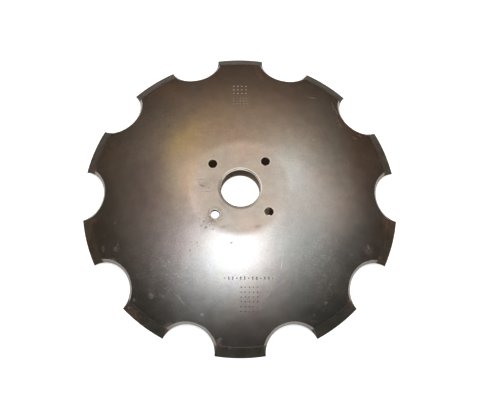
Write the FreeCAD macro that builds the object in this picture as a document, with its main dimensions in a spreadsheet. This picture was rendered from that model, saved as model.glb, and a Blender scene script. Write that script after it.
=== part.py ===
import FreeCAD, Part
import math
import os
import Sketcher
from FreeCAD import Vector

# Notched harrow disc blade, pressed from one round of steel plate.
# It lies on its tooth tips with the hollow side down. The origin is on its axis, in the plane of the
# tips, with +Z towards the domed side. Lengths are in millimetres and angles in degrees.

SIZES = [
    ("disc_diameter", 520.0, "across opposite tooth tips"),
    ("plate_thickness", 6.0, "steel plate"),
    ("dish_depth", 42.0, "from the plane of the tips to the hollow side of the hub"),
    ("hub_margin", 11.25, "flat steel outside the bolt holes, to the corner of hub and dish"),
    ("hub_blend_radius", 40.0, "bend between hub and dish, on the domed side"),
    ("rim_bevel_width", 15.0, "sharpened band on the domed side, seen along the axis"),
    ("rim_land", 1.2, "blunt edge left at the tooth tips"),
    ("bore_diameter", 63.0, "centre hole"),
    ("bore_edge_break", 0.8, "chamfer at both ends of the centre hole"),
    ("bolt_circle_diameter", 120.0, "pitch circle of the bolt holes"),
    ("bolt_hole_count", 4.0, "bolt holes on the pitch circle"),
    ("bolt_hole_diameter", 13.5, "clearance hole for a 12 mm bolt"),
    ("bolt_hole_edge_break", 0.5, "chamfer at both ends of each bolt hole"),
    ("first_bolt_angle", 48.1, "first bolt hole, from +X towards +Y"),
    ("notch_count", 10.0, "notches round the rim"),
    ("notch_depth", 40.0, "from the tip circle to the root of a notch, on the domed side"),
    ("notch_radius", 42.4, "cutting edge of a notch, across the plate"),
    ("notch_bevel_width", 5.2, "sharpened band round a notch, along the plate"),
    ("notch_land", 1.2, "blunt edge left round a notch"),
    ("cut_overrun", 12.0, "how far the notch cutter runs past both faces of the plate"),
]

# The hollow side of the dish is part of a sphere through the tip circle and the edge of the hub flat.
# The domed side has the same centre, one plate thickness further out.
TIP_RADIUS = "Sizes.disc_diameter / 2"
HUB_RADIUS = "(Sizes.bolt_circle_diameter / 2 + Sizes.bolt_hole_diameter / 2 + Sizes.hub_margin)"
CENTRE_DROP = f"(({TIP_RADIUS})^2 - Sizes.dish_depth^2 - {HUB_RADIUS}^2) / (2 * Sizes.dish_depth)"
HOLLOW_RADIUS = f"sqrt(({TIP_RADIUS})^2 + ({CENTRE_DROP})^2)"
DOMED_RADIUS = f"{HOLLOW_RADIUS} + Sizes.plate_thickness"
NOTCH_MOUTH_RADIUS = "Sizes.notch_radius + Sizes.notch_bevel_width"
NOTCH_TILT = (
    f"asin(({TIP_RADIUS} - Sizes.notch_depth) / ({DOMED_RADIUS}))"
    f" + asin(({NOTCH_MOUTH_RADIUS}) / ({DOMED_RADIUS}))"
)

ORIGIN = -1
X_AXIS = ORIGIN
UP_AXIS = ORIGIN - 1
START, END, CENTRE = range(1, 4)
POINT = START
TOUCH = 0.01


def make_sheet(doc):
    sheet = doc.addObject("Spreadsheet::Sheet", "Sizes")
    for row, (name, value, meaning) in enumerate(SIZES, start=1):
        sheet.set(f"A{row}", name)
        sheet.set(f"B{row}", str(value))
        sheet.setAlias(f"B{row}", name)
        sheet.set(f"C{row}", meaning)
    doc.recompute()
    return sheet


def origin_feature(body, role):
    return next(item for item in body.Origin.OriginFeatures if item.Role == role)


def new_sketch(body, name, plane_role):
    sketch = body.newObject("Sketcher::SketchObject", name)
    sketch.AttachmentSupport = [(origin_feature(body, plane_role), "")]
    sketch.MapMode = "FlatFace"
    return sketch


def bind(sketch, kind, targets, start_value, name, expression):
    """Adds a named dimension to a sketch and ties it to the sheet."""
    sketch.addConstraint(Sketcher.Constraint(kind, *targets, start_value))
    sketch.renameConstraint(sketch.ConstraintCount - 1, name)
    sketch.setExpression(f"Constraints.{name}", expression)


def relate(sketch, kind, *targets):
    sketch.addConstraint(Sketcher.Constraint(kind, *targets))


def round_edges(shape, radius, height):
    """Names the full circles of a shape with this radius at this height."""
    names = []
    for number, edge in enumerate(shape.Edges, start=1):
        curve = edge.Curve
        if not isinstance(curve, Part.Circle) or not edge.isClosed():
            continue
        if abs(curve.Radius - radius) < TOUCH and abs(curve.Center.z - height) < TOUCH:
            names.append(f"Edge{number}")
    return names


def hub_radius(size):
    """Where the flat hub meets the dish on the hollow side, before the corner is rounded."""
    return size["bolt_circle_diameter"] / 2 + size["bolt_hole_diameter"] / 2 + size["hub_margin"]


def sphere_sizes(size):
    """Depth of the sphere's centre below the tips, and the radii of its hollow and domed sides."""
    tip_radius = size["disc_diameter"] / 2
    drop = (tip_radius**2 - size["dish_depth"]**2 - hub_radius(size)**2) / (2 * size["dish_depth"])
    hollow = math.hypot(tip_radius, drop)
    return drop, hollow, hollow + size["plate_thickness"]


def section_sketch(body, size):
    """Half section of the unpierced disc, from the axis out to the sharpened rim."""
    drop, hollow, domed = sphere_sizes(size)
    tip = size["disc_diameter"] / 2
    hub_inside = size["dish_depth"]
    hub_outside = hub_inside + size["plate_thickness"]
    bevel_start = tip - size["rim_bevel_width"]
    bevel_height = math.sqrt(domed**2 - bevel_start**2) - drop
    bend_domed_radius = size["hub_blend_radius"]
    bend_hollow_radius = bend_domed_radius - size["plate_thickness"]
    bend_height = hub_outside - bend_domed_radius
    bend_reach = math.sqrt((domed - bend_domed_radius)**2 - (bend_height + drop)**2)
    centre = Vector(0, -drop, 0)
    bend_centre = Vector(bend_reach, bend_height, 0)
    outward = (bend_centre - centre).normalize()
    up = Vector(0, 0, 1)
    axis_outside = Vector(0, hub_outside, 0)
    axis_inside = Vector(0, hub_inside, 0)
    flat_inside = Vector(bend_reach, hub_inside, 0)
    flat_outside = Vector(bend_reach, hub_outside, 0)
    tip_inside = Vector(tip, 0, 0)
    tip_outside = Vector(tip, size["rim_land"], 0)
    bevel_foot = Vector(bevel_start, bevel_height, 0)
    dish_start_hollow = centre + outward * hollow
    dish_start_domed = centre + outward * domed

    def arc(middle, radius, outer, inner):
        start = math.atan2(outer.y - middle.y, outer.x - middle.x)
        end = math.atan2(inner.y - middle.y, inner.x - middle.x)
        return Part.ArcOfCircle(Part.Circle(middle, up, radius), start, end)

    sketch = new_sketch(body, "disc_section", "XZ_Plane")
    axis_line = sketch.addGeometry(Part.LineSegment(axis_outside, axis_inside))
    hub_hollow = sketch.addGeometry(Part.LineSegment(axis_inside, flat_inside))
    bend_hollow = sketch.addGeometry(arc(bend_centre, bend_hollow_radius, dish_start_hollow, flat_inside))
    dish_hollow = sketch.addGeometry(arc(centre, hollow, tip_inside, dish_start_hollow))
    land = sketch.addGeometry(Part.LineSegment(tip_inside, tip_outside))
    bevel = sketch.addGeometry(Part.LineSegment(tip_outside, bevel_foot))
    dish_domed = sketch.addGeometry(arc(centre, domed, bevel_foot, dish_start_domed))
    bend_domed = sketch.addGeometry(arc(bend_centre, bend_domed_radius, dish_start_domed, flat_outside))
    hub_domed = sketch.addGeometry(Part.LineSegment(flat_outside, axis_outside))
    hub_corner = sketch.addGeometry(Part.Point(Vector(hub_radius(size), hub_inside, 0)), True)

    relate(sketch, "Coincident", axis_line, END, hub_hollow, START)
    relate(sketch, "Tangent", hub_hollow, END, bend_hollow, END)
    relate(sketch, "Tangent", bend_hollow, START, dish_hollow, END)
    relate(sketch, "Coincident", dish_hollow, START, land, START)
    relate(sketch, "Coincident", land, END, bevel, START)
    relate(sketch, "Coincident", bevel, END, dish_domed, START)
    relate(sketch, "Tangent", dish_domed, END, bend_domed, START)
    relate(sketch, "Tangent", bend_domed, END, hub_domed, START)
    relate(sketch, "Coincident", hub_domed, END, axis_line, START)
    relate(sketch, "Coincident", dish_domed, CENTRE, dish_hollow, CENTRE)
    relate(sketch, "PointOnObject", axis_line, START, UP_AXIS)
    relate(sketch, "PointOnObject", axis_line, END, UP_AXIS)
    relate(sketch, "PointOnObject", dish_hollow, CENTRE, UP_AXIS)
    relate(sketch, "PointOnObject", land, START, X_AXIS)
    relate(sketch, "PointOnObject", hub_corner, POINT, hub_hollow)
    relate(sketch, "PointOnObject", hub_corner, POINT, dish_hollow)
    relate(sketch, "Horizontal", hub_hollow)
    relate(sketch, "Horizontal", hub_domed)
    relate(sketch, "Vertical", land)

    bind(sketch, "DistanceY", (ORIGIN, POINT, hub_hollow, START), hub_inside, "dish", "Sizes.dish_depth")
    bind(sketch, "DistanceY", (axis_line, END, axis_line, START), size["plate_thickness"], "plate",
         "Sizes.plate_thickness")
    bind(sketch, "DistanceX", (ORIGIN, POINT, hub_corner, POINT), hub_radius(size), "hub", HUB_RADIUS)
    bind(sketch, "Radius", (bend_domed,), bend_domed_radius, "bend_domed_side", "Sizes.hub_blend_radius")
    bind(sketch, "Radius", (bend_hollow,), bend_hollow_radius, "bend_hollow_side",
         "Sizes.hub_blend_radius - Sizes.plate_thickness")
    bind(sketch, "DistanceX", (ORIGIN, POINT, land, START), tip, "tips", TIP_RADIUS)
    bind(sketch, "DistanceY", (land, START, land, END), size["rim_land"], "land", "Sizes.rim_land")
    bind(sketch, "DistanceX", (bevel, END, bevel, START), size["rim_bevel_width"], "bevel",
         "Sizes.rim_bevel_width")
    bind(sketch, "Radius", (dish_domed,), domed, "domed_side", DOMED_RADIUS)
    return sketch


def notch_sketch(body, size):
    """Half section of the round notch cutter, beside its own axis.

    The axis runs through the sphere's centre, so the cut stands square to the plate. Below is a
    cylinder, which leaves the land, and above it a cone, which sharpens the domed side.
    """
    drop, hollow, domed = sphere_sizes(size)
    mouth = size["notch_radius"] + size["notch_bevel_width"]
    root = size["disc_diameter"] / 2 - size["notch_depth"]
    tilt = math.asin(root / domed) + math.asin(mouth / domed)
    along = Vector(math.sin(tilt), math.cos(tilt), 0)
    across = Vector(math.cos(tilt), -math.sin(tilt), 0)
    centre = Vector(0, -drop, 0)
    land_top = hollow + size["notch_land"]

    def place(reach, offset):
        return centre + along * reach + across * offset

    def on_sphere(radius, offset):
        return place(math.sqrt(radius**2 - offset**2), offset)

    cone_foot = on_sphere(land_top, size["notch_radius"])
    cone_mouth = on_sphere(domed, mouth)
    top_reach = domed + size["cut_overrun"]
    slope = (cone_mouth - cone_foot).normalize()
    cone_top = cone_foot + slope * ((top_reach - (cone_foot - centre).dot(along)) / slope.dot(along))
    bottom_reach = hollow - size["cut_overrun"]
    bottom = place(bottom_reach, 0)
    bottom_corner = place(bottom_reach, size["notch_radius"])
    top = place(top_reach, 0)

    sketch = new_sketch(body, "notch_section", "XZ_Plane")
    axis = sketch.addGeometry(Part.LineSegment(centre, top), True)
    floor = sketch.addGeometry(Part.LineSegment(bottom, bottom_corner))
    wall = sketch.addGeometry(Part.LineSegment(bottom_corner, cone_foot))
    cone = sketch.addGeometry(Part.LineSegment(cone_foot, cone_top))
    lid = sketch.addGeometry(Part.LineSegment(cone_top, top))
    core = sketch.addGeometry(Part.LineSegment(top, bottom))
    mouth_point = sketch.addGeometry(Part.Point(cone_mouth), True)

    relate(sketch, "PointOnObject", axis, START, UP_AXIS)
    relate(sketch, "Coincident", axis, END, core, START)
    relate(sketch, "Coincident", floor, END, wall, START)
    relate(sketch, "Coincident", wall, END, cone, START)
    relate(sketch, "Coincident", cone, END, lid, START)
    relate(sketch, "Coincident", lid, END, core, START)
    relate(sketch, "Coincident", core, END, floor, START)
    relate(sketch, "PointOnObject", core, END, axis)
    relate(sketch, "Perpendicular", floor, axis)
    relate(sketch, "Parallel", wall, axis)
    relate(sketch, "Perpendicular", lid, axis)
    relate(sketch, "PointOnObject", mouth_point, POINT, cone)

    bind(sketch, "DistanceY", (axis, START, ORIGIN, POINT), drop, "centre_drop", CENTRE_DROP)
    bind(sketch, "Angle", (axis, START, UP_AXIS, START), tilt, "tilt", NOTCH_TILT)
    bind(sketch, "Distance", (axis, START, axis, END), top_reach, "top_reach",
         f"{DOMED_RADIUS} + Sizes.cut_overrun")
    bind(sketch, "Distance", (axis, START, floor, START), bottom_reach, "bottom_reach",
         f"{HOLLOW_RADIUS} - Sizes.cut_overrun")
    bind(sketch, "Distance", (floor, START, floor, END), size["notch_radius"], "cutter", "Sizes.notch_radius")
    bind(sketch, "Distance", (axis, START, cone, START), land_top, "land_top",
         f"{HOLLOW_RADIUS} + Sizes.notch_land")
    bind(sketch, "Distance", (axis, START, mouth_point, POINT), domed, "mouth_reach", DOMED_RADIUS)
    bind(sketch, "Distance", (mouth_point, POINT, axis), mouth, "mouth", NOTCH_MOUTH_RADIUS)
    return sketch


def revolve_disc(body, size):
    disc = body.newObject("PartDesign::Revolution", "dished_plate")
    disc.Profile = section_sketch(body, size)
    disc.ReferenceAxis = (origin_feature(body, "Z_Axis"), [""])
    disc.Angle = 360
    return disc


def cut_round_hole(body, name, diameter_alias, size, place=None):
    """Cuts a round hole through the hub, at the centre or at a distance and angle from it."""
    sketch = new_sketch(body, f"{name}_outline", "XY_Plane")
    centre = Vector(0, 0, 0)
    if place:
        reach, turn, reach_expression, turn_expression = place
        centre = Vector(reach * math.cos(turn), reach * math.sin(turn), 0)
        arm = sketch.addGeometry(Part.LineSegment(Vector(0, 0, 0), centre), True)
        relate(sketch, "Coincident", arm, START, ORIGIN, POINT)
        bind(sketch, "Distance", (arm, START, arm, END), reach, "reach", reach_expression)
        bind(sketch, "Angle", (ORIGIN, START, arm, START), turn, "turn", turn_expression)
    circle = sketch.addGeometry(Part.Circle(centre, Vector(0, 0, 1), size[diameter_alias] / 2))
    if place:
        relate(sketch, "Coincident", circle, CENTRE, arm, END)
    else:
        relate(sketch, "Coincident", circle, CENTRE, ORIGIN, POINT)
    bind(sketch, "Diameter", (circle,), size[diameter_alias], "hole", f"Sizes.{diameter_alias}")
    hole = body.newObject("PartDesign::Pocket", name)
    hole.Profile = sketch
    hole.Type = "ThroughAll"
    hole.Reversed = True
    return hole


def repeat_round(body, name, feature, count_alias):
    pattern = body.newObject("PartDesign::PolarPattern", name)
    pattern.Originals = [feature]
    pattern.Axis = (origin_feature(body, "Z_Axis"), [""])
    pattern.Angle = 360
    pattern.setExpression("Occurrences", f"Sizes.{count_alias}")
    body.Tip = pattern
    return pattern


def break_edges(doc, body, name, base, diameter, size, size_alias):
    """Chamfers both ends of every hole of one diameter."""
    doc.recompute()
    hub_inside = size["dish_depth"]
    hub_outside = hub_inside + size["plate_thickness"]
    edges = round_edges(base.Shape, diameter / 2, hub_inside)
    edges += round_edges(base.Shape, diameter / 2, hub_outside)
    chamfer = body.newObject("PartDesign::Chamfer", name)
    chamfer.Base = (base, edges)
    chamfer.setExpression("Size", f"Sizes.{size_alias}")
    return chamfer


def cut_notch(body, size):
    sketch = notch_sketch(body, size)
    notch = body.newObject("PartDesign::Groove", "notch")
    notch.Profile = sketch
    notch.ReferenceAxis = (sketch, ["Axis0"])
    notch.Angle = 360
    return notch


def make_disc_blade(doc, size):
    body = doc.addObject("PartDesign::Body", "disc_blade")
    body.Label = "disc_blade"
    disc = revolve_disc(body, size)
    bore = cut_round_hole(body, "bore", "bore_diameter", size)
    bore_edges = break_edges(doc, body, "bore_edges", bore, size["bore_diameter"], size, "bore_edge_break")
    first_bolt = (
        size["bolt_circle_diameter"] / 2,
        math.radians(size["first_bolt_angle"]),
        "Sizes.bolt_circle_diameter / 2",
        "Sizes.first_bolt_angle * 1 deg",
    )
    bolt_hole = cut_round_hole(body, "bolt_hole", "bolt_hole_diameter", size, first_bolt)
    bolt_holes = repeat_round(body, "bolt_holes", bolt_hole, "bolt_hole_count")
    bolt_edges = break_edges(doc, body, "bolt_hole_edges", bolt_holes, size["bolt_hole_diameter"], size,
                             "bolt_hole_edge_break")
    notch = cut_notch(body, size)
    notches = repeat_round(body, "notches", notch, "notch_count")
    doc.recompute()
    steps = [disc, bore, bore_edges, bolt_hole, bolt_holes, bolt_edges, notch, notches]
    for before, after in zip(steps, steps[1:]):
        if abs(after.Shape.Volume - before.Shape.Volume) < TOUCH:
            raise RuntimeError(f"{after.Name} changes nothing")
    return body


def check(doc, bodies):
    for item in doc.Objects:
        if "Invalid" in item.State or "Error" in item.State:
            raise RuntimeError(f"{item.Name} is {item.State}")
        if item.isDerivedFrom("Sketcher::SketchObject") and not item.FullyConstrained:
            raise RuntimeError(f"{item.Name} is not fully constrained")
    for body in bodies:
        if body.Shape.isNull() or not body.Shape.isValid() or len(body.Shape.Solids) != 1:
            raise RuntimeError(f"{body.Label} is not one sound solid")


def main():
    os.makedirs("parts", exist_ok=True)
    doc = FreeCAD.newDocument("harrow_disc_blade")
    sheet = make_sheet(doc)
    size = {name: float(sheet.get(name)) for name, _, _ in SIZES}
    bodies = [make_disc_blade(doc, size)]
    check(doc, bodies)
    for body in bodies:
        body.Shape.exportStep(os.path.join("parts", f"{body.Label}.step"))
        box = body.Shape.BoundBox
        print(body.Label, "volume", round(body.Shape.Volume), "box", box)


main()
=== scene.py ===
import math

import bmesh
import bpy
from mathutils import Matrix, Vector


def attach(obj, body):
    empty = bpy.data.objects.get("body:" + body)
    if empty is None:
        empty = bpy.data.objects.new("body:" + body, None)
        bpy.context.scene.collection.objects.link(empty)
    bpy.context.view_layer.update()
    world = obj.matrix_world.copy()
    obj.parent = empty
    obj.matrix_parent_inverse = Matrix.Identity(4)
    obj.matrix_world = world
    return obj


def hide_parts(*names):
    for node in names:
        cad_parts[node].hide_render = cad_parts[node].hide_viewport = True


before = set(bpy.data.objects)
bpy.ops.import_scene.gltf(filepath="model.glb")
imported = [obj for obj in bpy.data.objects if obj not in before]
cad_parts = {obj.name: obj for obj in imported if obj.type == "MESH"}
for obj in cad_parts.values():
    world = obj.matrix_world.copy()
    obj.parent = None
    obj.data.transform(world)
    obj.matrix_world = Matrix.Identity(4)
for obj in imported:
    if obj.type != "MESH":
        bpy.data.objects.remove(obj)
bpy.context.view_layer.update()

# A notched harrow disc blade of dished steel plate, lying domed side up on its tooth tips.
# Lengths are in millimetres until they meet Blender, and angles in degrees.

MM = 0.001

# The plate's own sizes, as in the construction. Only the bend round the hub is drawn softer here.
TIP_RADIUS = 260.0
PLATE = 6.0
DISH_DEPTH = 42.0
HUB_CORNER_RADIUS = 78.0
HUB_BEND_RADIUS = 110.0
RIM_BEVEL_WIDTH = 15.0
RIM_LAND = 1.2
BORE_RADIUS = 31.5
BORE_CHAMFER = 0.8
BOLT_CIRCLE_RADIUS = 60.0
BOLT_HOLE_COUNT = 4
BOLT_HOLE_RADIUS = 6.75
BOLT_HOLE_CHAMFER = 0.5
FIRST_BOLT_ANGLE = 48.1
NOTCH_COUNT = 10
NOTCH_DEPTH = 40.0
NOTCH_RADIUS = 42.4
NOTCH_BEVEL_WIDTH = 5.2
NOTCH_LAND = 1.2

CENTRE_DROP = (TIP_RADIUS**2 - DISH_DEPTH**2 - HUB_CORNER_RADIUS**2) / (2 * DISH_DEPTH)
BEVEL_START = TIP_RADIUS - RIM_BEVEL_WIDTH
BEVEL_MIDDLE = TIP_RADIUS - RIM_BEVEL_WIDTH / 2
HOLLOW_RADIUS = math.hypot(TIP_RADIUS, CENTRE_DROP)
DOMED_RADIUS = HOLLOW_RADIUS + PLATE
HUB_TOP = DISH_DEPTH + PLATE
NOTCH_ROOT = TIP_RADIUS - NOTCH_DEPTH
NOTCH_MOUTH = NOTCH_RADIUS + NOTCH_BEVEL_WIDTH
NOTCH_TILT = math.asin(NOTCH_ROOT / DOMED_RADIUS) + math.asin(NOTCH_MOUTH / DOMED_RADIUS)

# How finely the shapes are divided.
STEPS_ROUND = 360
DOME_STEP = 3.4
HOLLOW_STEP = 7.0
BEND_STEPS = 7
BEVEL_STEPS = 5
NOTCH_STEPS = 200
HOLE_STEPS = 72
PUNCH_STEPS = 14
PUNCH_RINGS = 8
CREASE = math.radians(9.0)
WELD = 0.002
# How far a punch ball stands over the plate, as a share of its own radius.
PUNCH_LIFT = 0.45


def domed_height(radius):
    """Height of the domed side of the dish at this distance from the axis."""
    return math.sqrt(DOMED_RADIUS**2 - radius**2) - CENTRE_DROP


def between(start, end, step):
    """Values from start to end, both kept, about a step apart."""
    count = max(1, math.ceil(abs(end - start) / step))
    return [start + (end - start) * i / count for i in range(count + 1)]


def disc_section():
    """Closed half section of the disc, from the bore over the domed side and back under it."""
    bend_height = HUB_TOP - HUB_BEND_RADIUS
    bend_reach = math.sqrt((DOMED_RADIUS - HUB_BEND_RADIUS) ** 2 - (bend_height + CENTRE_DROP) ** 2)
    bend_end = math.atan2(bend_reach, bend_height + CENTRE_DROP)

    def bend(radius, angles):
        return [(bend_reach + radius * math.sin(a), bend_height + radius * math.cos(a)) for a in angles]

    def dish(radius, first, last, step):
        start, end = math.asin(first / radius), math.asin(last / radius)
        angles = between(start, end, step / radius)
        return [(radius * math.sin(a), radius * math.cos(a) - CENTRE_DROP) for a in angles]

    turns = between(0, bend_end, bend_end / BEND_STEPS)
    points = [(BORE_RADIUS, DISH_DEPTH + BORE_CHAMFER), (BORE_RADIUS, HUB_TOP - BORE_CHAMFER)]
    points += [(r, HUB_TOP) for r in between(BORE_RADIUS + BORE_CHAMFER, bend_reach, DOME_STEP)[:-1]]
    points += bend(HUB_BEND_RADIUS, turns)
    points += dish(DOMED_RADIUS, DOMED_RADIUS * math.sin(bend_end), BEVEL_START, DOME_STEP)[1:]
    foot = domed_height(BEVEL_START)
    for share in between(0, 1, 1 / BEVEL_STEPS)[1:]:
        points.append((BEVEL_START + RIM_BEVEL_WIDTH * share, foot + (RIM_LAND - foot) * share))
    points += dish(HOLLOW_RADIUS, TIP_RADIUS, HOLLOW_RADIUS * math.sin(bend_end), HOLLOW_STEP)
    points += bend(HUB_BEND_RADIUS - PLATE, reversed(turns))[1:]
    points += [(r, DISH_DEPTH) for r in between(bend_reach, BORE_RADIUS + BORE_CHAMFER, HOLLOW_STEP)[1:]]
    return points


def notch_section():
    """Half section of the notch cutter about its own axis, from the centre of the dish's sphere."""
    overrun = 12.0
    foot_reach = math.sqrt((HOLLOW_RADIUS + NOTCH_LAND) ** 2 - NOTCH_RADIUS**2)
    mouth_reach = math.sqrt(DOMED_RADIUS**2 - NOTCH_MOUTH**2)
    slope = NOTCH_BEVEL_WIDTH / (mouth_reach - foot_reach)
    bottom = HOLLOW_RADIUS - overrun
    top = DOMED_RADIUS + overrun
    return [
        (0, bottom),
        (NOTCH_RADIUS, bottom),
        (NOTCH_RADIUS, foot_reach),
        (NOTCH_RADIUS + slope * (top - foot_reach), top),
        (0, top),
    ]


def bolt_hole_section():
    """Half section of the bolt hole cutter, with a countersink at each face of the hub."""
    wide = BOLT_HOLE_RADIUS + BOLT_HOLE_CHAMFER
    overrun = 2.0
    return [
        (0, DISH_DEPTH - overrun),
        (wide + overrun, DISH_DEPTH - overrun),
        (wide, DISH_DEPTH),
        (BOLT_HOLE_RADIUS, DISH_DEPTH + BOLT_HOLE_CHAMFER),
        (BOLT_HOLE_RADIUS, HUB_TOP - BOLT_HOLE_CHAMFER),
        (wide, HUB_TOP),
        (wide + overrun, HUB_TOP + overrun),
        (0, HUB_TOP + overrun),
    ]


def punched_row(count, first, pitch, height, half_width, half_length):
    """A level row of equal marks, from the first one on by a pitch each."""
    return [(first + pitch * column, height, half_width, half_length, 0) for column in range(count)]


def punch_marks():
    """Plain punched dots, dashes and ticks: place on the domed side, half width, half length and turn."""
    marks = []
    for row in range(3):
        dashes, dots = 192 - 8 * row, 166 - 6 * row
        marks += punched_row(count=4, first=-11, pitch=6.8, height=dashes, half_width=1.3, half_length=1.9)
        marks += punched_row(count=5, first=-11, pitch=5.4, height=dots, half_width=1.0, half_length=1.0)
    tick_count, first_tick, tick_pitch, tick_height = 13, -24, 6.1, -143.5
    for column in range(tick_count):
        half_length = 3.0 if column % 3 else 1.2
        marks.append((first_tick + tick_pitch * column, tick_height, 1.2, half_length, 90))
    for row in range(6):
        dots = -157 - 7.2 * row
        marks += punched_row(count=5, first=1, pitch=6.2, height=dots, half_width=1.15, half_length=1.15)
    return marks


# Colours of the steel, as light it sends back.
STEEL_COOL = (0.188, 0.184, 0.176)
STEEL_WARM = (0.2, 0.183, 0.165)
# Rubbed steel, which also serves as the painted highlight on edges, on the far side of the bore's lip and on
# the far halves of the punch marks.
STEEL_RUBBED_AND_HIGHLIGHT = (0.5, 0.48, 0.45)
TINT_ROSY = (0.212, 0.172, 0.16)
TINT_OLIVE = (0.19, 0.185, 0.15)
TINT_VIOLET = (0.188, 0.168, 0.178)
TINT_STRAW = (0.3, 0.26, 0.145)
TINT_BROWN = (0.195, 0.13, 0.1)
TINT_DUSK = (0.135, 0.12, 0.135)
TINT_DARK_GREY = (0.13, 0.12, 0.11)
TINT_MAUVE = (0.208, 0.187, 0.2)
TINT_PINK = (0.24, 0.212, 0.205)
TINT_PALE = (0.203, 0.203, 0.201)
TINT_EDGE = (0.285, 0.235, 0.195)
TINT_UMBER = (0.15, 0.115, 0.085)
TINT_DEEP_GREY = (0.085, 0.082, 0.075)
# Colours of the rim bevel: painted shade copies for the near and the far teeth, a darker painted shade for
# the far teeth, and a browner tone for the right side.
BEVEL_NEAR_PAINTED_SHADE = (0.042, 0.039, 0.031)
BEVEL_FAR_PAINTED_SHADE = (0.046, 0.033, 0.018)
BEVEL_DARKER_PAINTED_SHADE = (0.018, 0.013, 0.008)
BEVEL_BROWN = (0.04, 0.029, 0.016)
SMUDGE_BROWN = (0.09, 0.075, 0.065)
# Painted shade, for the near side of the bore's lip and the near halves of the punch marks.
PAINTED_SHADE_GREY = (0.055, 0.05, 0.044)
SEAT_PINK = (0.33, 0.275, 0.255)
RUST_BROWN = (0.185, 0.088, 0.062)
SPECK_BROWN = (0.07, 0.05, 0.042)
ROUGHNESS = 0.25

# Tints, partly the plate's own and partly painted reflections of the room: the oval each one covers (place,
# half sizes and turn), how strong it is, and its colour.
TINTS_AND_PAINTED_REFLECTIONS = [
    ((-92, 88, 38, 22, 52), 0.5, TINT_STRAW),
    ((-60, 120, 60, 34, 25), 0.15, TINT_STRAW),
    ((-78, -8, 20, 50, -4), 0.7, TINT_PINK),
    ((-150, 4, 30, 66, 4), 0.75, TINT_DUSK),
    ((98, -22, 44, 66, 0), 0.8, TINT_PALE),
    ((-185, 110, 44, 60, 40), 0.6, TINT_PALE),
    ((218, 64, 34, 90, 15), 0.75, TINT_BROWN),
    ((232, -80, 26, 60, -18), 0.5, TINT_BROWN),
    ((10, 215, 120, 44, 0), 0.5, TINT_DARK_GREY),
    ((-196, -116, 60, 84, 30), 0.6, TINT_DARK_GREY),
    ((-225, -20, 30, 80, 0), 0.5, TINT_DARK_GREY),
    ((225, -30, 36, 90, 0), 0.5, TINT_DARK_GREY),
    ((0, -242, 44, 34, 0), 0.6, TINT_DARK_GREY),
    ((122, -224, 40, 70, -60), 0.5, TINT_DARK_GREY),
    ((-125, -75, 50, 50, 0), 0.55, TINT_MAUVE),
    ((150, -90, 50, 50, 0), 0.5, TINT_PALE),
    ((-230, 76, 22, 44, 18), 0.6, TINT_EDGE),
    ((-142, 196, 22, 50, 54), 0.45, TINT_EDGE),
    ((232, 76, 22, 40, -18), 0.45, TINT_EDGE),
    ((232, -76, 18, 40, 18), 0.45, TINT_UMBER),
    ((-232, -76, 20, 40, -18), 0.45, TINT_UMBER),
    ((-138, -192, 30, 46, 0), 0.5, TINT_DEEP_GREY),
    ((138, -190, 30, 40, 0), 0.35, TINT_DEEP_GREY),
    ((186, -108, 30, 44, 0), 0.35, TINT_DEEP_GREY),
]


# ---------------------------------------------------------------- node writing


class Wire:
    """One output in a node tree. Arithmetic on it writes Math nodes."""

    def __init__(self, pen, socket):
        self.pen = pen
        self.socket = socket

    def __add__(self, other):
        return self.pen.maths("ADD", self, other)

    def __radd__(self, other):
        return self.pen.maths("ADD", other, self)

    def __sub__(self, other):
        return self.pen.maths("SUBTRACT", self, other)

    def __rsub__(self, other):
        return self.pen.maths("SUBTRACT", other, self)

    def __mul__(self, other):
        return self.pen.maths("MULTIPLY", self, other)

    def __rmul__(self, other):
        return self.pen.maths("MULTIPLY", other, self)

    def __truediv__(self, other):
        return self.pen.maths("DIVIDE", self, other)

    def __rtruediv__(self, other):
        return self.pen.maths("DIVIDE", other, self)

    def __pow__(self, other):
        return self.pen.maths("POWER", self, other)

    def __neg__(self):
        return self.pen.maths("MULTIPLY", self, -1.0)


class Pen:
    """Writes nodes into one tree, for materials, the world and the blade's form."""

    def __init__(self, tree):
        self.tree = tree

    def node(self, kind, settings=None, sockets=None, output=0):
        """Adds a node. Settings are set first, then each socket gets its value or its link."""
        node = self.tree.nodes.new(kind)
        for name, value in (settings or {}).items():
            setattr(node, name, value)
        for key, value in (sockets or {}).items():
            socket = node.inputs[key]
            for item in value if isinstance(value, list) else [value]:
                if isinstance(item, Wire):
                    self.tree.links.new(item.socket, socket)
                else:
                    socket.default_value = item
        return Wire(self, node.outputs[output]) if len(node.outputs) else node

    def output(self, wire, name):
        """Another output of the node that a wire comes from."""
        return Wire(self, wire.socket.node.outputs[name])

    def maths(self, operation, *values):
        """A Math node on these values."""
        return self.node("ShaderNodeMath", {"operation": operation}, dict(enumerate(values)))

    def vector(self, operation, *values, output=0):
        """A Vector Math node on these values. Its output Value is a number."""
        sockets = dict(enumerate(values))
        return self.node("ShaderNodeVectorMath", {"operation": operation}, sockets, output)

    def smooth(self, value, start, end):
        """0 before start, 1 after end and soft between them. Start may be the larger one."""
        return self.node(
            "ShaderNodeMapRange",
            {"interpolation_type": "SMOOTHSTEP"},
            {"Value": value, "From Min": start, "From Max": end},
        )

    def grey(self, value):
        """One number as a colour with three equal parts."""
        return self.node("ShaderNodeCombineXYZ", {}, {"X": value, "Y": value, "Z": value})

    def mix(self, share, first, second, blend="MIX"):
        """Mixes two colours."""
        rgba = [c if isinstance(c, Wire) else (*c, 1.0) for c in (first, second)]
        settings = {"data_type": "RGBA", "blend_type": blend}
        return self.node("ShaderNodeMix", settings, {0: share, 6: rgba[0], 7: rgba[1]}, 2)


# ---------------------------------------------------------------- the blade's form


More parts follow.
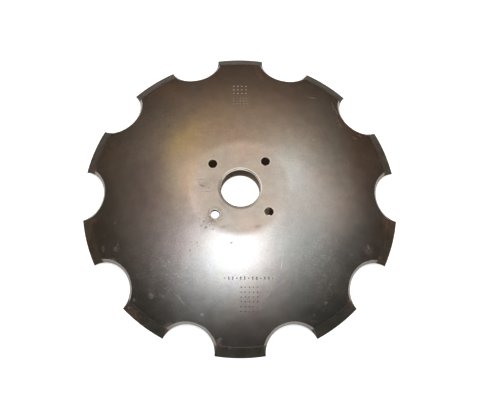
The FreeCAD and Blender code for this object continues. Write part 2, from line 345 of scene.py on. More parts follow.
def point_line(name, points):
    """An object with one line of points, for the form's tree to read."""
    mesh = bpy.data.meshes.new(name)
    edges = [(i, i + 1) for i in range(len(points) - 1)]
    mesh.from_pydata([Vector(p) * MM for p in points], edges, [])
    thing = bpy.data.objects.new(name, mesh)
    bpy.context.scene.collection.objects.link(thing)
    return thing


def marks_object(marks):
    """The punched marks as points, each with its stretch and turn."""
    thing = point_line("punch_marks", [])
    places = [Vector((x, y, domed_height(math.hypot(x, y)))) * MM for x, y, *_ in marks]
    thing.data.from_pydata(places, [], [])
    thing.data.attributes.new("stretch", "FLOAT_VECTOR", "POINT")
    thing.data.attributes.new("turn", "FLOAT", "POINT")
    # Both are looked up again by name, because a new attribute moves the ones before it.
    stretch, turn = (thing.data.attributes[name] for name in ("stretch", "turn"))
    for number, (_, _, width, length, angle) in enumerate(marks):
        stretch.data[number].vector = Vector((length, width, width)) * MM
        turn.data[number].value = math.radians(angle)
    return thing


def form_tree():
    """The tree that turns the sections, cuts the notches and holes and punches the marks."""
    tree = bpy.data.node_groups.new("blade_form", "GeometryNodeTree")
    interface = tree.interface
    interface.new_socket(name="Blade", in_out="OUTPUT", socket_type="NodeSocketGeometry")
    kinds = {
        "Disc Section": "NodeSocketObject",
        "Notch Section": "NodeSocketObject",
        "Bolt Hole Section": "NodeSocketObject",
        "Punch Marks": "NodeSocketObject",
        "Steps Round": "NodeSocketInt",
        "Notch Count": "NodeSocketInt",
        "Notch Steps": "NodeSocketInt",
        "Notch Tilt": "NodeSocketFloat",
        "Sphere Centre Drop": "NodeSocketFloat",
        "Bolt Hole Count": "NodeSocketInt",
        "Bolt Hole Steps": "NodeSocketInt",
        "Bolt Circle Radius": "NodeSocketFloat",
        "First Bolt Angle": "NodeSocketFloat",
        "Weld Distance": "NodeSocketFloat",
        "Crease Angle": "NodeSocketFloat",
        "Steel": "NodeSocketMaterial",
    }
    for name, kind in kinds.items():
        interface.new_socket(name=name, in_out="INPUT", socket_type=kind)
    pen = Pen(tree)
    start = pen.node("NodeGroupInput")
    given = {name: pen.output(start, name) for name in kinds}

    def turned(section_name, steps, closed):
        """Turns a section about Z into a solid. A closed one joins its last point to its first."""
        section = pen.node("GeometryNodeObjectInfo", {}, {"Object": given[section_name]}, "Geometry")
        count = pen.node("GeometryNodeAttributeDomainSize", {}, {"Geometry": section}, "Point Count")
        rows = count + (1 if closed else 0)
        grid = pen.node("GeometryNodeMeshGrid", {}, {"Vertices X": steps + 1, "Vertices Y": rows})
        number = pen.node("GeometryNodeInputIndex")
        column = pen.maths("FLOOR", (number + 0.5) / rows)
        place = pen.node(
            "GeometryNodeSampleIndex",
            {"data_type": "FLOAT_VECTOR"},
            {
                "Geometry": section,
                "Value": pen.node("GeometryNodeInputPosition"),
                "Index": pen.maths("FLOORED_MODULO", number - column * rows, count),
            },
        )
        angle = column * math.tau / steps
        about_z = {"rotation_type": "Z_AXIS"}
        moved = pen.node("ShaderNodeVectorRotate", about_z, {"Vector": place, "Angle": angle})
        shaped = pen.node("GeometryNodeSetPosition", {}, {"Geometry": grid, "Position": moved})
        weld = {"Geometry": shaped, "Distance": given["Weld Distance"]}
        return pen.node("GeometryNodeMergeByDistance", {}, weld)

    def around(cutter, count, first=0.0):
        """Copies a cutter evenly round the disc's axis."""
        spots = pen.node("GeometryNodePoints", {}, {"Count": count})
        angle = pen.node("GeometryNodeInputIndex") * math.tau / count + first
        turn = pen.node("ShaderNodeCombineXYZ", {}, {"Z": angle})
        sockets = {"Points": spots, "Instance": cutter, "Rotation": turn}
        copies = pen.node("GeometryNodeInstanceOnPoints", {}, sockets)
        return pen.node("GeometryNodeRealizeInstances", {}, {"Geometry": copies})

    disc = turned("Disc Section", given["Steps Round"], True)

    notch = turned("Notch Section", given["Notch Steps"], False)
    tilt = pen.node("ShaderNodeCombineXYZ", {}, {"Y": given["Notch Tilt"]})
    drop = pen.node("ShaderNodeCombineXYZ", {}, {"Z": -given["Sphere Centre Drop"]})
    notch = pen.node("GeometryNodeTransform", {}, {"Geometry": notch, "Rotation": tilt, "Translation": drop})
    notches = around(notch, given["Notch Count"])

    hole = turned("Bolt Hole Section", given["Bolt Hole Steps"], False)
    reach = pen.node("ShaderNodeCombineXYZ", {}, {"X": given["Bolt Circle Radius"]})
    hole = pen.node("GeometryNodeTransform", {}, {"Geometry": hole, "Translation": reach})
    holes = around(hole, given["Bolt Hole Count"], given["First Bolt Angle"])

    marks = pen.node("GeometryNodeObjectInfo", {}, {"Object": given["Punch Marks"]}, "Geometry")
    outwards = pen.vector("SUBTRACT", pen.node("GeometryNodeInputPosition"), drop)
    upright = pen.node("FunctionNodeAlignRotationToVector", {"axis": "Z"}, {"Vector": outwards})
    turn = pen.node("GeometryNodeInputNamedAttribute", {"data_type": "FLOAT"}, {"Name": "turn"})
    spun = pen.node(
        "FunctionNodeRotateRotation",
        {"rotation_space": "LOCAL"},
        {"Rotation": upright, "Rotate By": pen.node("ShaderNodeCombineXYZ", {}, {"Z": turn})},
    )
    stretch = pen.node("GeometryNodeInputNamedAttribute", {"data_type": "FLOAT_VECTOR"}, {"Name": "stretch"})
    sphere = {"Segments": PUNCH_STEPS, "Rings": PUNCH_RINGS, "Radius": 1.0}
    ball = pen.node("GeometryNodeMeshUVSphere", {}, sphere)
    lift = pen.node("ShaderNodeCombineXYZ", {}, {"Z": PUNCH_LIFT})
    ball = pen.node("GeometryNodeTransform", {}, {"Geometry": ball, "Translation": lift})
    punches = pen.node(
        "GeometryNodeInstanceOnPoints",
        {},
        {"Points": marks, "Instance": ball, "Rotation": spun, "Scale": stretch},
    )
    punches = pen.node("GeometryNodeRealizeInstances", {}, {"Geometry": punches})

    body = disc
    for cutter in (holes, notches, punches):
        settings = {"operation": "DIFFERENCE", "solver": "EXACT"}
        body = pen.node("GeometryNodeMeshBoolean", settings, {"Mesh 1": body, "Mesh 2": cutter})
    body = pen.node("GeometryNodeRealizeInstances", {}, {"Geometry": body})
    smooth = {"Geometry": body, "Shade Smooth": True}
    body = pen.node("GeometryNodeSetShadeSmooth", {"domain": "FACE"}, smooth)
    bend = pen.node("GeometryNodeInputMeshEdgeAngle", output="Unsigned Angle")
    steeper = {"operation": "GREATER_THAN"}
    sharp = pen.node("FunctionNodeCompare", steeper, {0: bend, 1: given["Crease Angle"]})
    body = pen.node(
        "GeometryNodeSetShadeSmooth",
        {"domain": "EDGE"},
        {"Geometry": body, "Selection": sharp, "Shade Smooth": False},
    )
    body = pen.node("GeometryNodeSetMaterial", {}, {"Geometry": body, "Material": given["Steel"]})
    pen.node("NodeGroupOutput", {}, {"Blade": body})
    return tree


def close_seams(mesh):
    """Joins points that the cuts have left on top of each other."""
    work = bmesh.new()
    work.from_mesh(mesh)
    bmesh.ops.dissolve_degenerate(work, dist=WELD * MM, edges=work.edges)
    bmesh.ops.remove_doubles(work, verts=work.verts, dist=WELD * MM)
    work.to_mesh(mesh)
    work.free()


def make_blade(steel):
    """Builds the blade from its tree and leaves a plain mesh."""

    def section_object(name, section):
        return point_line(name, [(radius, 0, height) for radius, height in section])

    helpers = {
        "Disc Section": section_object("disc_section", disc_section()),
        "Notch Section": section_object("notch_section", notch_section()),
        "Bolt Hole Section": section_object("bolt_hole_section", bolt_hole_section()),
        "Punch Marks": marks_object(punch_marks()),
    }
    values = {
        "Steps Round": STEPS_ROUND,
        "Notch Count": NOTCH_COUNT,
        "Notch Steps": NOTCH_STEPS,
        "Notch Tilt": NOTCH_TILT,
        "Sphere Centre Drop": CENTRE_DROP * MM,
        "Bolt Hole Count": BOLT_HOLE_COUNT,
        "Bolt Hole Steps": HOLE_STEPS,
        "Bolt Circle Radius": BOLT_CIRCLE_RADIUS * MM,
        "First Bolt Angle": math.radians(FIRST_BOLT_ANGLE),
        "Weld Distance": WELD * MM,
        "Crease Angle": CREASE,
        "Steel": steel,
    }
    carrier = point_line("blade_carrier", [(0, 0, 0)])
    tree = form_tree()
    form = carrier.modifiers.new("form", "NODES")
    form.node_group = tree
    for item in tree.interface.items_tree:
        if item.in_out == "INPUT":
            form[item.identifier] = {**helpers, **values}[item.name]
    shown = carrier.evaluated_get(bpy.context.evaluated_depsgraph_get())
    mesh = bpy.data.meshes.new_from_object(shown)
    mesh.name = "disc_blade_steel"
    mesh.materials.clear()
    mesh.materials.append(steel)
    mesh.polygons.foreach_set("material_index", [0] * len(mesh.polygons))
    for name in ("turn", "stretch"):
        mesh.attributes.remove(mesh.attributes[name])
    close_seams(mesh)
    carrier.modifiers.remove(form)
    for thing in [*helpers.values(), carrier]:
        bpy.data.objects.remove(thing)
    blade = bpy.data.objects.new("disc_blade_steel", mesh)
    bpy.context.scene.collection.objects.link(blade)
    return blade


# ---------------------------------------------------------------- finishes


# Marks that use has left on the domed side: place, half sizes and turn. Each list is one kind of mark,
# and the last two are where crumbs of dirt and fine scuffs lie.
RUST_STAINS = [
    (-242, 41, 7, 4, 60),
    (-237, -46, 7, 4.5, 20),
    (-167, -190, 14, 5, -52),
    (33, 221, 5, 9, 15),
    (168, 124, 3, 7, 20),
    (193, 99, 4, 2.4, -30),
    (-32, -240, 4, 6, 20),
    (203, -94, 6, 6, 0),
    (170, -174, 3, 10, 10),
    (240, -50, 7, 12, 10),
    (-112, -214, 7, 3.5, 30),
]
DARK_SPECKS = [
    (-57, -56, 1.6, 1.3, 0),
    (-54, -66, 2.0, 1.6, 30),
    (-48, -49, 1.3, 2.4, 40),
    (-43, -54, 2.2, 1.3, 30),
    (-31, -39, 1.2, 2.0, 20),
    (-66, -42, 1.4, 1.2, 0),
    (-61, -63, 1.8, 1.2, 50),
    (-43, -69, 1.4, 1.0, 0),
    (-63, -52, 1.2, 1.0, 0),
    (-36, -51, 1.6, 1.0, 60),
    (-50, -41, 1.0, 2.2, -30),
    (-78, -101, 1.8, 0.8, 30),
    (-67, -89, 0.8, 1.7, 0),
    (-14, -90, 2.0, 1.6, 0),
    (-62, 13, 12, 0.8, 5),
    (-61, 3, 5, 1.1, -18),
    (-55, -7, 9, 0.8, 2),
    (-66, 8, 1.0, 3.0, 20),
    (-48, 12, 0.9, 3.4, -10),
    (-50, -1, 2.6, 0.9, 40),
]
SMUDGES = [
    (-27, -65, 6.5, 2.6, 8),
    (27, -64, 6, 2.6, 12),
    (-58, 4, 9, 6, 30),
    (-26, -30, 12, 3.4, -46),
    (-46, -56, 14, 10, 40),
    (124, -165, 16, 20, 10),
]
LIGHT_SPOTS = [
    (-217, -93, 2.2, 5, 10),
    (-195, -94, 4.5, 4.0, 0),
    (-202, -110, 7, 1.8, -12),
    (-200, -52, 2.0, 2.4, 0),
    (-193, -85, 1.4, 5, 0),
    (-137, -168, 4.2, 4.2, 0),
    (-164, -173, 1.8, 3.2, 0),
    (-58, -197, 2.2, 2.2, 0),
    (-31, -233, 4.0, 2.4, 30),
    (-16, -246, 2.0, 2.0, 0),
    (125, 174, 8, 1.6, -6),
    (160, 160, 1.5, 9, 12),
    (165, 148, 1.4, 7, 14),
    (121, 88, 2.2, 1.8, 0),
    (201, 106, 4, 1.8, -30),
    (132, -178, 2.8, 2.4, 0),
    (113, -196, 1.6, 1.8, 0),
    (110, -215, 1.8, 1.6, 0),
    (139, -151, 2.0, 1.6, 0),
    (223, -105, 2.4, 1.6, 0),
    (203, -90, 1.2, 4, 0),
]
SCRATCHES = [
    (64, -118, 0.5, 13, -8),
    (71, -107, 0.45, 5, -28),
    (132, -146, 0.5, 7, -6),
    (140, -160, 0.45, 6, 30),
    (145, -150, 0.4, 8, 52),
    (114, -206, 8, 0.5, 0),
    (107, -200, 0.4, 9, 6),
    (-100, -166, 0.5, 16, 47),
    (-84, -182, 0.45, 14, 51),
    (-92, -172, 0.4, 8, 20),
    (128, -128, 0.35, 9, 70),
    (150, -140, 0.35, 10, -40),
]
CRUMBED = [(-56, -56, 28, 22, 30), (-76, -98, 20, 15, 40)]
HANDLED = [(-135, -150, 75, 60, 40), (150, -130, 70, 60, -40)]
# The way from the middle to the side of the bore's lip that carries painted shade.
LIP_SHADE_WAY = (-0.5, -0.866, 0)


class PlatePattern:
    """What the finishes share: places on the blade, noises and marks, all on its own coordinates."""

    def __init__(self, pen):
        self.pen = pen
        self.place = pen.node("ShaderNodeTexCoord", output="Object")
        apart = pen.node("ShaderNodeSeparateXYZ", {}, {0: self.place})
        self.x, self.y, self.z = apart, pen.output(apart, "Y"), pen.output(apart, "Z")
        self.flat = pen.vector("MULTIPLY", self.place, (1, 1, 0))
        self.radius = pen.vector("LENGTH", self.flat, output="Value")
        self.normal = pen.node("ShaderNodeNewGeometry", output="Normal")
        facing = pen.node("ShaderNodeSeparateXYZ", {}, {0: self.normal}, "Z")
        self.domed = pen.smooth(facing, 0.02, 0.12)
        # From the broadest noise to the finest, and one drawn out along Y.
        self.broad = self.noise(9, 2.0)
        self.drift = self.noise(17, 3.0, distort=0.6)
        self.cloud = self.noise(60, 4.0)
        self.ragged = self.noise(330, 4.0, 0.7)
        self.grain = self.noise(1500, 3.0, 0.6)
        self.streak = self.noise(26, 3.0, stretch=(3.2, 0.45, 1.0))
        self.turned_plans = {}
        self.notch_gap = self.gap_to_notch()

    def noise(self, scale, detail=3.0, rough=0.55, stretch=None, distort=0.0):
        """Noise of this many cells to the metre."""
        spot = self.pen.vector("MULTIPLY", self.place, stretch) if stretch else self.place
        sockets = {"Vector": spot, "Scale": scale, "Detail": detail}
        sockets.update({"Roughness": rough, "Distortion": distort})
        return self.pen.node("ShaderNodeTexNoise", {}, sockets)

    def across(self, reading, start, end):
        """0 before start and 1 after end, both in millimetres."""
        return self.pen.smooth(reading, start * MM, end * MM)

    def turned_plan(self, turn):
        """The plan position, turned back by this many degrees."""
        pen = self.pen
        if turn not in self.turned_plans:
            along = (math.cos(math.radians(turn)), math.sin(math.radians(turn)), 0)
            across = (-along[1], along[0], 0)
            ahead = pen.vector("DOT_PRODUCT", self.flat, along, output="Value")
            aside = pen.vector("DOT_PRODUCT", self.flat, across, output="Value")
            self.turned_plans[turn] = pen.node("ShaderNodeCombineXYZ", {}, {"X": ahead, "Y": aside})
        return self.turned_plans[turn]

    def oval(self, cx, cy, half_width, half_length, turn):
        """How far out a point lies from an oval's middle, 1 on its edge."""
        angle = math.radians(turn)
        ahead = cx * math.cos(angle) + cy * math.sin(angle)
        aside = cy * math.cos(angle) - cx * math.sin(angle)
        scale = (1 / (half_width * MM), 1 / (half_length * MM), 0)
        shift = (-ahead / half_width, -aside / half_length, 0)
        inside = self.pen.vector("MULTIPLY_ADD", self.turned_plan(turn), scale, shift)
        return self.pen.vector("LENGTH", inside, output="Value")

    def ovals(self, rows, soft, rough):
        """All the ovals of one kind of mark, ragged at their edges and on the domed side only."""
        away = self.oval(*rows[0])
        for row in rows[1:]:
            away = self.pen.maths("MINIMUM", away, self.oval(*row))
        away = away + (self.ragged - 0.5) * rough
        return self.pen.smooth(away, 1.0 + soft, 1.0 - soft) * self.domed

    def gap_to_notch(self):
        """The distance from the nearest notch's own axis."""
        pen = self.pen
        sector = math.tau / NOTCH_COUNT
        turn = pen.maths("ARCTAN2", self.y, self.x)
        turn = turn - pen.maths("ROUND", turn / sector) * sector
        ahead = self.radius * pen.maths("COSINE", turn)
        aside = self.radius * pen.maths("SINE", turn)
        over_centre = self.z + CENTRE_DROP * MM
        folded = pen.node("ShaderNodeCombineXYZ", {}, {"X": ahead, "Y": aside, "Z": over_centre})
        axis = (math.sin(NOTCH_TILT), 0, math.cos(NOTCH_TILT))
        return pen.vector("LENGTH", pen.vector("CROSS_PRODUCT", folded, axis), output="Value")


def tint_and_paint_reflections(plate):
    """The plate's colour: tints that are partly its own and partly painted reflections of the room, broken
    up by a fine unevenness.
    """
    pen = plate.pen
    colour = pen.mix(pen.smooth(plate.broad, 0.35, 0.65), STEEL_COOL, STEEL_WARM)
    colour = pen.mix(pen.smooth(plate.drift, 0.52, 0.72) * 0.5, colour, TINT_ROSY)
    colour = pen.mix(pen.smooth(plate.drift, 0.46, 0.28) * 0.5, colour, TINT_OLIVE)
    colour = pen.mix(pen.smooth(plate.streak, 0.5, 0.7) * 0.4, colour, TINT_VIOLET)
    for oval, share, tint in TINTS_AND_PAINTED_REFLECTIONS:
        tinted = pen.smooth(plate.oval(*oval), 1.75, 0.25) * share * plate.domed
        colour = pen.mix(tinted, colour, tint)
    shade = 1 + (plate.cloud - 0.5) * 0.34 + (plate.ragged - 0.5) * 0.3
    shade = shade + (plate.noise(700, 2.0, 0.8) - 0.5) * 0.3
    return pen.mix(1.0, colour, pen.grey(shade), "MULTIPLY")


def rub_and_light_edges(plate, colour):
    """Edges painted lighter: partly rubbed steel and partly painted highlight. The line where the bevel
    starts shows only on the nearest tooth, as a painted highlight, and the tooth tips carry a painted
    reflection of the floor. Returns the colour and how much each place is lightened.
    """
    pen, radius, bore_edge = plate.pen, plate.radius, BORE_RADIUS + BORE_CHAMFER
    # Painted highlight where the bevel starts, on the nearest tooth only, and a painted reflection of the
    # floor along the tooth tips.
    rim_painted_highlight = plate.across(pen.maths("ABSOLUTE", radius - BEVEL_START * MM), 1.3, 0.3)
    notch_edge = (NOTCH_MOUTH + 0.3) * MM
    notch_line = plate.across(pen.maths("ABSOLUTE", plate.notch_gap - notch_edge), 1.1, 0.2)
    tip_painted_reflection = plate.across(radius, TIP_RADIUS - 1.6, TIP_RADIUS - 0.3)
    bore_line = plate.across(radius, bore_edge + 0.9, bore_edge)
    nearest_tooth = plate.across(plate.y, -222, -238)
    rim_painted_highlight = rim_painted_highlight * nearest_tooth * plate.domed
    worn_and_lit = pen.maths("MAXIMUM", rim_painted_highlight * 0.5, notch_line * plate.domed * 0.6)
    worn_and_lit = pen.maths("MAXIMUM", worn_and_lit, pen.maths("MAXIMUM", tip_painted_reflection * 0.6, bore_line * 0.8))
    worn_and_lit = worn_and_lit * pen.smooth(plate.cloud, 0.35, 0.6)
    return pen.mix(worn_and_lit, colour, STEEL_RUBBED_AND_HIGHLIGHT), worn_and_lit


def dull_and_shade_bevel(plate, colour):
    """The sharpened rim, darker and duller than the plate, with painted shade that differs by side: one tone
    on the near teeth, a warmer one on the far teeth with darker painted shade over the inner and outer parts
    of their bevels, and browner on the right. Returns the colour and where it lies.
    """
    pen = plate.pen
    ground = plate.radius + (plate.ragged - 0.5) * (2.0 * MM)
    bevelled = plate.across(ground, BEVEL_START - 1.6, BEVEL_START + 0.1) * plate.domed
    # Painted shade by side: one tone for the near teeth, another for the far teeth, and darker over the far
    # teeth's inner and outer bevel.
    shaded = pen.mix(plate.across(plate.y, -185, -115), BEVEL_NEAR_PAINTED_SHADE, BEVEL_FAR_PAINTED_SHADE)
    painted_shade_border = plate.across(pen.maths("ABSOLUTE", ground - BEVEL_MIDDLE * MM), 2.0, 5.0)
    shaded = pen.mix(painted_shade_border * plate.across(plate.y, 20, 90) * 0.7, shaded, BEVEL_DARKER_PAINTED_SHADE)
    shaded = pen.mix(plate.across(plate.x, 170, 220), shaded, BEVEL_BROWN)
    return pen.mix(bevelled * (0.5 + plate.cloud * 0.66), colour, shaded), bevelled


def mark_by_use(plate, colour):
    """Marks of handling, standing outdoors and shipping.

    Returns the colour, how much rougher the marks make the steel, and where it is pitted.
    """
    pen, ragged, domed = plate.pen, plate.ragged, plate.domed

    def either(first, second):
        return pen.maths("MAXIMUM", first, second)

    smudged = plate.ovals(SMUDGES, 0.8, 1.6) * pen.smooth(ragged, 0.3, 0.62)
    stained = plate.ovals(RUST_STAINS, 0.9, 1.4) * pen.smooth(ragged, 0.34, 0.6)
    specks = plate.ovals(DARK_SPECKS, 0.7, 2.4) * pen.smooth(ragged, 0.3, 0.6)
    pale = plate.ovals(LIGHT_SPOTS, 0.7, 1.6) * pen.smooth(ragged, 0.36, 0.6)
    scored = plate.ovals(SCRATCHES, 0.5, 0.6) * pen.smooth(plate.cloud, 0.3, 0.55)

    by_hub, by_dome = (plate.oval(*row) for row in CRUMBED)
    crumbed = either(pen.smooth(by_hub, 1.2, 0.3), pen.smooth(by_dome, 1.2, 0.4))
    crumbs = pen.smooth(plate.noise(520, 3.0, 0.7), 0.57, 0.66) * domed * crumbed
    cells = {"Vector": plate.place, "Scale": 170.0, "Randomness": 1.0}
    pits = pen.node("ShaderNodeTexVoronoi", {}, cells, "Distance")
    pitted = pen.smooth(pits, 0.13, 0.07) * pen.smooth(plate.drift, 0.52, 0.62) * domed
    handled = either(*(pen.smooth(plate.oval(*row), 1.3, 0.3) for row in HANDLED))
    scuffs = plate.noise(150, 6.0, 0.8, stretch=(1.0, 1.6, 1.0), distort=1.5)
    scuffed = pen.smooth(scuffs, 0.53, 0.65) * handled * domed

    for where, share, tone in [
        (smudged, 0.6, SMUDGE_BROWN),
        (stained, 0.6, RUST_BROWN),
        (specks, 0.5, SPECK_BROWN),
        (crumbs, 0.5, SPECK_BROWN),
        (pitted, 0.4, SPECK_BROWN),
        (pale, 0.25, STEEL_RUBBED_AND_HIGHLIGHT),
        (scored, 0.3, STEEL_RUBBED_AND_HIGHLIGHT),
        (scuffed, 0.45, STEEL_RUBBED_AND_HIGHLIGHT),
    ]:
        colour = pen.mix(where * share, colour, tone)
    rougher = stained * 0.2 + specks * 0.2 + smudged * 0.1 + pale * 0.12
    return colour, rougher, pitted


def finish_holes(plate, colour):
    """Clean seats round the bolt holes, grime at the lower left one, and the lip of the bore with painted
    shade on its near side and a painted highlight on its far side.
    """
    pen, ragged, domed = plate.pen, plate.ragged, plate.domed
    reach = BOLT_HOLE_RADIUS * 1.35
    seats = []
    for number in range(BOLT_HOLE_COUNT):
        angle = math.radians(FIRST_BOLT_ANGLE + 360 / BOLT_HOLE_COUNT * number)
        x, y = BOLT_CIRCLE_RADIUS * math.cos(angle), BOLT_CIRCLE_RADIUS * math.sin(angle)
        seats.append(plate.oval(x, y, reach, reach, 0))
    lower_left = seats[2]
    seat = seats[0]
    for other in seats[1:]:
        seat = pen.maths("MINIMUM", seat, other)
    seated = pen.smooth(seat + (ragged - 0.5) * 0.3, 1.1, 0.9) * domed
    colour = pen.mix(seated * 0.3, colour, SEAT_PINK)
    soiled = pen.smooth(lower_left, 1.9, 0.9) * pen.smooth(ragged, 0.42, 0.6) * domed
    colour = pen.mix(soiled * 0.6, colour, SMUDGE_BROWN)

    # The bore's lip: painted shade on its near lower left side and a painted highlight on its far side.
    toward = pen.vector("DOT_PRODUCT", plate.flat, LIP_SHADE_WAY, output="Value") / plate.radius
    lip_painted_shade = plate.across(plate.radius, BORE_RADIUS + 6.0, BORE_RADIUS + 3.0)
    lip_painted_shade = lip_painted_shade * pen.smooth(toward, -0.2, 0.8) * domed
    lip_painted_highlight = plate.across(plate.radius, BORE_RADIUS + 3.2, BORE_RADIUS + 2.0)
    lip_painted_highlight = lip_painted_highlight * pen.smooth(toward, 0.1, -0.5) * domed
    colour = pen.mix(lip_painted_shade * (0.35 + ragged * 0.8), colour, PAINTED_SHADE_GREY)
    return pen.mix(lip_painted_highlight * 0.4, colour, STEEL_RUBBED_AND_HIGHLIGHT)


def shade_punch_marks(plate, colour):
    """Punch marks get painted shade on their near half and a painted highlight on their far half.

    They are where the steel leans away from the dome, between the hub and the teeth.
    Returns the colour and where they lie.
    """
    pen, radius = plate.pen, plate.radius
    centre = (0, 0, -CENTRE_DROP * MM)
    outwards = pen.vector("NORMALIZE", pen.vector("SUBTRACT", plate.place, centre))
    upright = pen.vector("DOT_PRODUCT", plate.normal, outwards, output="Value")
    clear = plate.across(plate.notch_gap, NOTCH_MOUTH + 1.5, NOTCH_MOUTH + 3.0)
    clear = clear * plate.across(radius, 225, 215) * plate.across(radius, 110, 115)
    punched = pen.smooth(upright, 0.985, 0.93) * clear * plate.domed
    # Painted shade on the near half, painted highlight on the far half.
    highlighted_half = plate.across(plate.y, -10, 10)
    return pen.mix(punched * 0.75, colour, pen.mix(highlighted_half, PAINTED_SHADE_GREY, STEEL_RUBBED_AND_HIGHLIGHT)), punched


def make_steel():
    """Dark rolled and hardened plate: tints that are partly painted reflections, grain, stains, specks,
    scratches and rubbed edges, with painted highlights and shade at the edges, the bevels, the bore's lip
    and the punch marks.
    """
    steel = bpy.data.materials.new("hardened_steel")
    steel.use_nodes = True
    steel.node_tree.nodes.clear()
    pen = Pen(steel.node_tree)
    plate = PlatePattern(pen)
    colour = tint_and_paint_reflections(plate)
    colour, worn_and_lit = rub_and_light_edges(plate, colour)
    colour, bevelled = dull_and_shade_bevel(plate, colour)
    colour, rougher, pitted = mark_by_use(plate, colour)
    colour = finish_holes(plate, colour)
    colour, punched = shade_punch_marks(plate, colour)

    cloud, grain = plate.cloud - 0.5, plate.grain - 0.5
    rough = ROUGHNESS + cloud * 0.06 + grain * 0.05 + rougher - worn_and_lit * 0.06
    rough = rough + bevelled * 0.24 + punched * 0.2
    height = grain * 0.010 + (plate.ragged - 0.5) * 0.018 + cloud * 0.045
    height = height + (plate.drift - 0.5) * 0.2 - pitted * 0.03
    relief = pen.node("ShaderNodeBump", {}, {"Strength": 1.0, "Distance": MM, "Height": height})
    sockets = {"Base Color": colour, "Metallic": 1.0, "Roughness": rough, "Normal": relief}
    surface = pen.node("ShaderNodeBsdfPrincipled", {}, sockets)
    pen.node("ShaderNodeOutputMaterial", {}, {"Surface": surface})
    return steel


# The floor as the camera sees it: white round the disc, with painted shade under it that is deepest away
# from the middle, painted pools of light where light falls through the bore and through two bolt holes, and
# a faint painted glow. Each lit round has its middle and its radius.
FLOOR_WHITE = (0.95, 0.95, 0.95)
FLOOR_SHADE = (0.8, 0.62, 0.46)
FLOOR_DEEP_SHADE = (0.06, 0.045, 0.034)
FLOOR_TOP_UP = 0.5
FLOOR_PAINTED_GLOW = (0.015, 0.010, 0.006)
ROUND_PAINTED_LIGHT = 1.0
LIT_ROUNDS = [((0.0, 6.0), 32.0), ((-41.5, -30.8), 11.0), ((47.2, -38.0), 7.0)]
LIT_ROUND_BLUR = 0.8
SHADE_EDGE = (215.0, 223.0)
DEEP_SHADE_EDGE = (52.0, 56.0)
FLOOR_HALF = 6.0


def shown_rays(pen):
    """1 for rays that show the background, as they leave the camera or a shiny or clear surface."""
    path = pen.node("ShaderNodeLightPath")
    rays = [pen.output(path, f"Is {kind} Ray") for kind in ("Camera", "Glossy", "Transmission")]
    return pen.maths("MAXIMUM", rays[0], pen.maths("MAXIMUM", rays[1], rays[2]))


def make_floor():
    """A white floor, in metres, with painted shade under the disc, painted pools of light under the bore and
    two bolt holes, and a faint painted glow.
    """
    mesh = bpy.data.meshes.new("studio_floor")
    corners = [(x * FLOOR_HALF, y * FLOOR_HALF, 0) for x, y in ((-1, -1), (1, -1), (1, 1), (-1, 1))]
    mesh.from_pydata(corners, [], [(0, 1, 2, 3)])
    floor = bpy.data.objects.new("studio_floor", mesh)
    bpy.context.scene.collection.objects.link(floor)
    paint = bpy.data.materials.new("white_floor")
    paint.use_nodes = True
    paint.node_tree.nodes.clear()
    pen = Pen(paint.node_tree)
    place = pen.node("ShaderNodeTexCoord", output="Object")

    def beyond(middle, start, end):
        """0 nearer to a middle than start, and 1 farther than end."""
        away = pen.vector("DISTANCE", place, (middle[0] * MM, middle[1] * MM, 0), output="Value")
        return pen.smooth(away, start * MM, end * MM)

    # Painted shade under the disc, and painted pools of light under the bore and two bolt holes.
    lit = beyond((0, 0), *SHADE_EDGE)
    shade = pen.mix(beyond((0, 0), *DEEP_SHADE_EDGE), FLOOR_SHADE, FLOOR_DEEP_SHADE)
    white_and_painted_light = lit * FLOOR_TOP_UP
    for middle, reach in LIT_ROUNDS:
        inside = beyond(middle, reach + LIT_ROUND_BLUR, reach - LIT_ROUND_BLUR)
        lit = pen.maths("MAXIMUM", lit, inside)
        white_and_painted_light = pen.maths("MAXIMUM", white_and_painted_light, inside * ROUND_PAINTED_LIGHT)
    glow = pen.vector("ADD", pen.grey(white_and_painted_light), FLOOR_PAINTED_GLOW)
    sockets = {
        "Base Color": pen.mix(lit, shade, FLOOR_WHITE),
        "Roughness": 0.9,
        "Specular IOR Level": 0.2,
        "Emission Color": pen.vector("MULTIPLY", glow, pen.grey(shown_rays(pen))),
        "Emission Strength": 1.0,
    }
    surface = pen.node("ShaderNodeBsdfPrincipled", {}, sockets)
    pen.node("ShaderNodeOutputMaterial", {}, {"Surface": surface})
    mesh.materials.append(paint)
    return floor


# ---------------------------------------------------------------- light and view


# Soft lights round the disc: tilt from overhead, turn from +X, how tight each one is, and its colour.
GLOWS = [
    (18, 90, 8, (2.05, 1.67, 1.28)),
    (0, 0, 70, (8.4, 9.5, 10.9)),
    (30, 30, 70, (1.68, 1.56, 1.56)),
    (48, 90, 8, (0.39, 0.23, 0.15)),
    (12, 210, 70, (2.28, 2.45, 2.66)),
    (30, 60, 160, (2.29, 2.93, 3.29)),
    (30, 120, 160, (2.5, 1.84, 1.05)),
    (18, 0, 70, (0.65, 1.07, 1.25)),
    (38, 60, 70, (0.6, 0.61, 0.53)),
    (6, 270, 160, (1.6, 1.6, 1.5)),
    (13, 270, 160, (0.7, 0.68, 0.64)),
    (18, 320, 70, (0.2, 0.2, 0.2)),
    (74, 270, 14, (0.9, 0.86, 0.8)),
    (80, 225, 18, (0.8, 0.77, 0.72)),
    (80, 315, 18, (0.8, 0.77, 0.72)),
    (80, 0, 16, (0.8, 0.77, 0.72)),
    (80, 180, 16, (0.8, 0.77, 0.72)),
]
ROOM = (0.018, 0.018, 0.017)
# The white backdrop stands this high over the horizon, as the sine of the angle, and then fades.
BACKDROP_TOP = (0.0, 0.06)


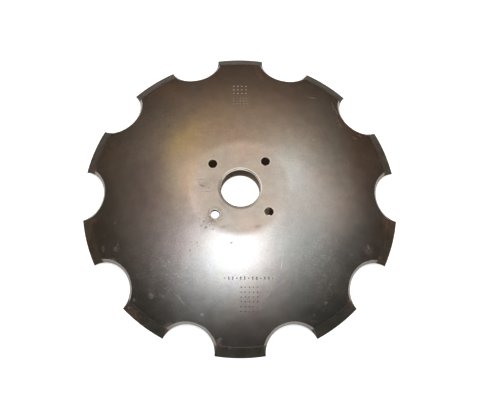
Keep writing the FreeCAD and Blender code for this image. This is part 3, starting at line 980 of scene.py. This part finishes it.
def make_world():
    """Soft lights in a dark room, over a low white backdrop."""
    world = bpy.data.worlds.new("studio")
    world.use_nodes = True
    world.node_tree.nodes.clear()
    pen = Pen(world.node_tree)
    way = pen.vector("NORMALIZE", pen.node("ShaderNodeTexCoord", output="Generated"))
    light = ROOM
    for tilt, turn, tight, colour in GLOWS:
        tilt, turn = math.radians(tilt), math.radians(turn)
        axis = (math.sin(tilt) * math.cos(turn), math.sin(tilt) * math.sin(turn), math.cos(tilt))
        share = pen.maths("MAXIMUM", pen.vector("DOT_PRODUCT", way, axis, output="Value"), 0.0) ** tight
        light = pen.vector("MULTIPLY_ADD", pen.grey(share), colour, light)
    rise = pen.node("ShaderNodeSeparateXYZ", {}, {0: way}, "Z")
    low = pen.smooth(rise, BACKDROP_TOP[1], BACKDROP_TOP[0])
    camera_ray = pen.output(pen.node("ShaderNodeLightPath"), "Is Camera Ray")
    shown = pen.maths("MAXIMUM", low * shown_rays(pen), camera_ray)
    colour = pen.mix(shown, light, (1.0, 1.0, 1.0))
    sky = pen.node("ShaderNodeBackground", {}, {"Color": colour, "Strength": 1.0})
    pen.node("ShaderNodeOutputWorld", {}, {"Surface": sky})
    bpy.context.scene.world = world


# The camera's place in metres, and the ways that point back from the view and up in it.
CAMERA_PLACE = (-0.0128, -0.3088, 0.9002)
CAMERA_BACK = (-0.0133, -0.3032, 0.9528)
CAMERA_UP = (-0.0042, 0.9529, 0.3032)
# The lens in pixels of an image this wide, and the sensor that it is worked out for, in millimetres.
FOCAL_PIXELS = 572
IMAGE_WIDTH = 480
SENSOR_WIDTH = 36.0


def make_camera():
    """Stands where the photographer stood, a little in front of the disc and nearly above it."""
    data = bpy.data.cameras.new("camera")
    data.sensor_fit = "HORIZONTAL"
    data.sensor_width = SENSOR_WIDTH
    data.lens = SENSOR_WIDTH * FOCAL_PIXELS / IMAGE_WIDTH
    camera = bpy.data.objects.new("camera", data)
    bpy.context.scene.collection.objects.link(camera)
    back = Vector(CAMERA_BACK).normalized()
    right = Vector(CAMERA_UP).cross(back).normalized()
    up = back.cross(right)
    turned = Matrix((right, up, back)).transposed().to_4x4()
    camera.matrix_world = Matrix.Translation(CAMERA_PLACE) @ turned
    bpy.context.scene.camera = camera


bpy.context.scene.view_settings.view_transform = "Standard"

blade = make_blade(make_steel())
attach(blade, "root")
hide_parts("disc_blade")

floor = make_floor()

make_world()
make_camera()
